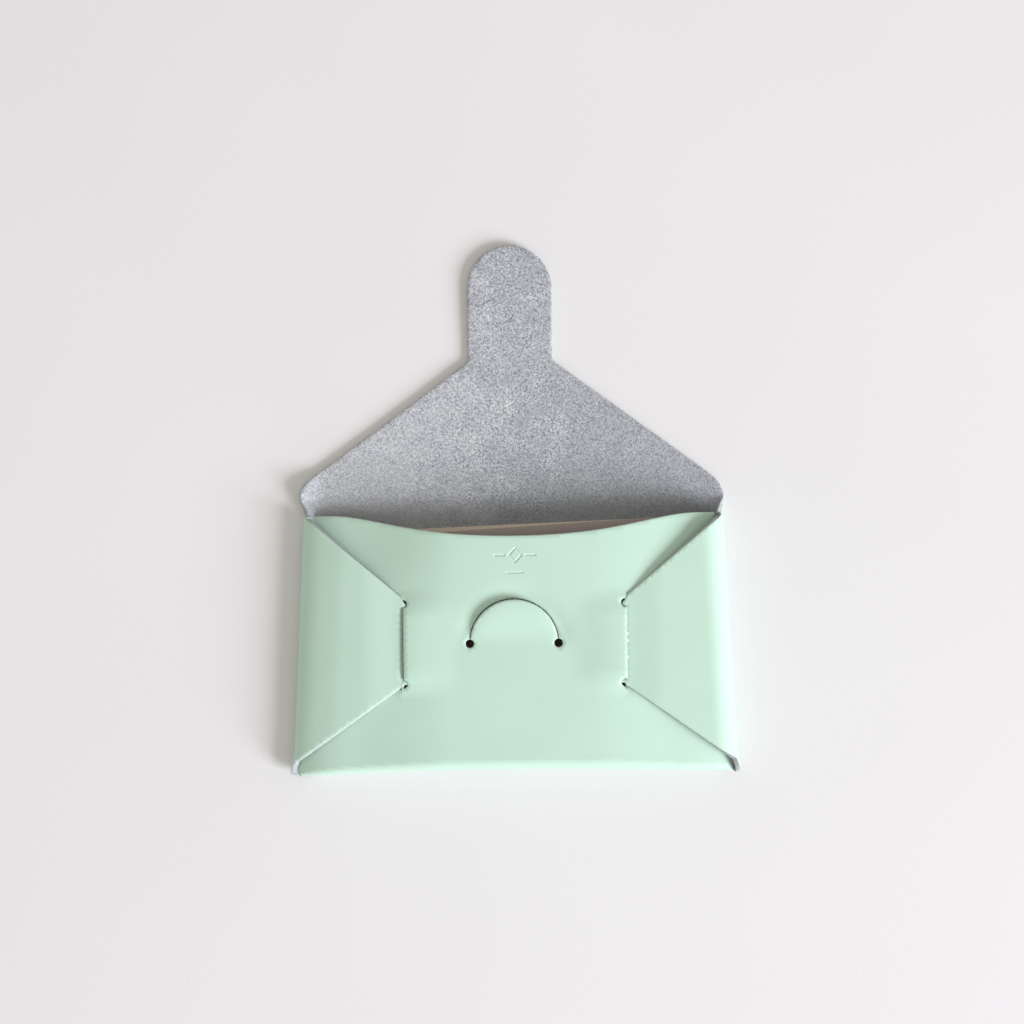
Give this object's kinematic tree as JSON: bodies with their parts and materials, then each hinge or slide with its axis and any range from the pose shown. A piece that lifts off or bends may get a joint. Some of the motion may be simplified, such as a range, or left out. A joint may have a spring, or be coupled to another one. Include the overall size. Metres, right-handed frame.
{
  "type": "card holder",
  "caption": "Folded leather business-card holder with wrap-over side flaps, a dipped pocket mouth and a closing flap whose tongue meets a half-moon latch tab.",
  "frame": {"origin": "centre of the body's back, on the outer face that rests on a table", "axes": "+Z from the back to the front, +Y from the pocket to the open closing flap, +X to the right as the front is seen"},
  "size_m": [0.113, 0.1343, 0.0109],
  "materials": {
    "grain_leather": "satin",
    "flesh_leather": "matte",
    "pale_card": "matte",
    "brown_card": "matte"
  },
  "bodies": {
    "holder": {"back_panel": "grain_leather", "bottom_fold": "grain_leather", "front_panel": "grain_leather", "left_side_fold": "grain_leather", "right_side_fold": "grain_leather", "left_side_flap": "grain_leather", "right_side_flap": "grain_leather", "left_lock_tab": "grain_leather", "right_lock_tab": "grain_leather"},
    "spine": {"flap_spine": "flesh_leather"},
    "flap": {"main_flap": "flesh_leather"},
    "tongue": {"closure_tongue": "flesh_leather"},
    "latch": {"latch_tab": "grain_leather"},
    "rear_card": {"rear_card": "pale_card"},
    "front_card": {"front_card": "brown_card"}
  },
  "joints": [
    {"name": "spine_crease", "type": "hinge", "parent": "holder", "child": "spine", "pos_m": [0, 0.0331, 0.0014], "axis": [-1, 0, 0], "range_deg": [-90, 0]},
    {"name": "flap_crease", "type": "hinge", "parent": "spine", "child": "flap", "pos_m": [0, 0.0439, 0.0014], "axis": [-1, 0, 0], "range_deg": [-90, 0]},
    {"name": "tongue_bend", "type": "hinge", "parent": "flap", "child": "tongue", "pos_m": [0, 0.0718, 0.0014], "axis": [1, 0, 0], "range_deg": [0, 50], "stiffness_Nm_per_rad": 0.004},
    {"name": "latch_lift", "type": "hinge", "parent": "holder", "child": "latch", "pos_m": [0, 0, 0.00945], "axis": [1, 0, 0], "range_deg": [0, 60], "stiffness_Nm_per_rad": 0.006},
    {"name": "rear_card_slide", "type": "slide", "parent": "holder", "child": "rear_card", "axis": [0, 1, 0], "range_m": [-0.001, 0.038]},
    {"name": "front_card_slide", "type": "slide", "parent": "holder", "child": "front_card", "axis": [0, 1, 0], "range_m": [-0.001, 0.038]}
  ],
  "couplings": [
    {"joint": "flap_crease", "follows": "spine_crease", "ratio": 1}
  ]
}
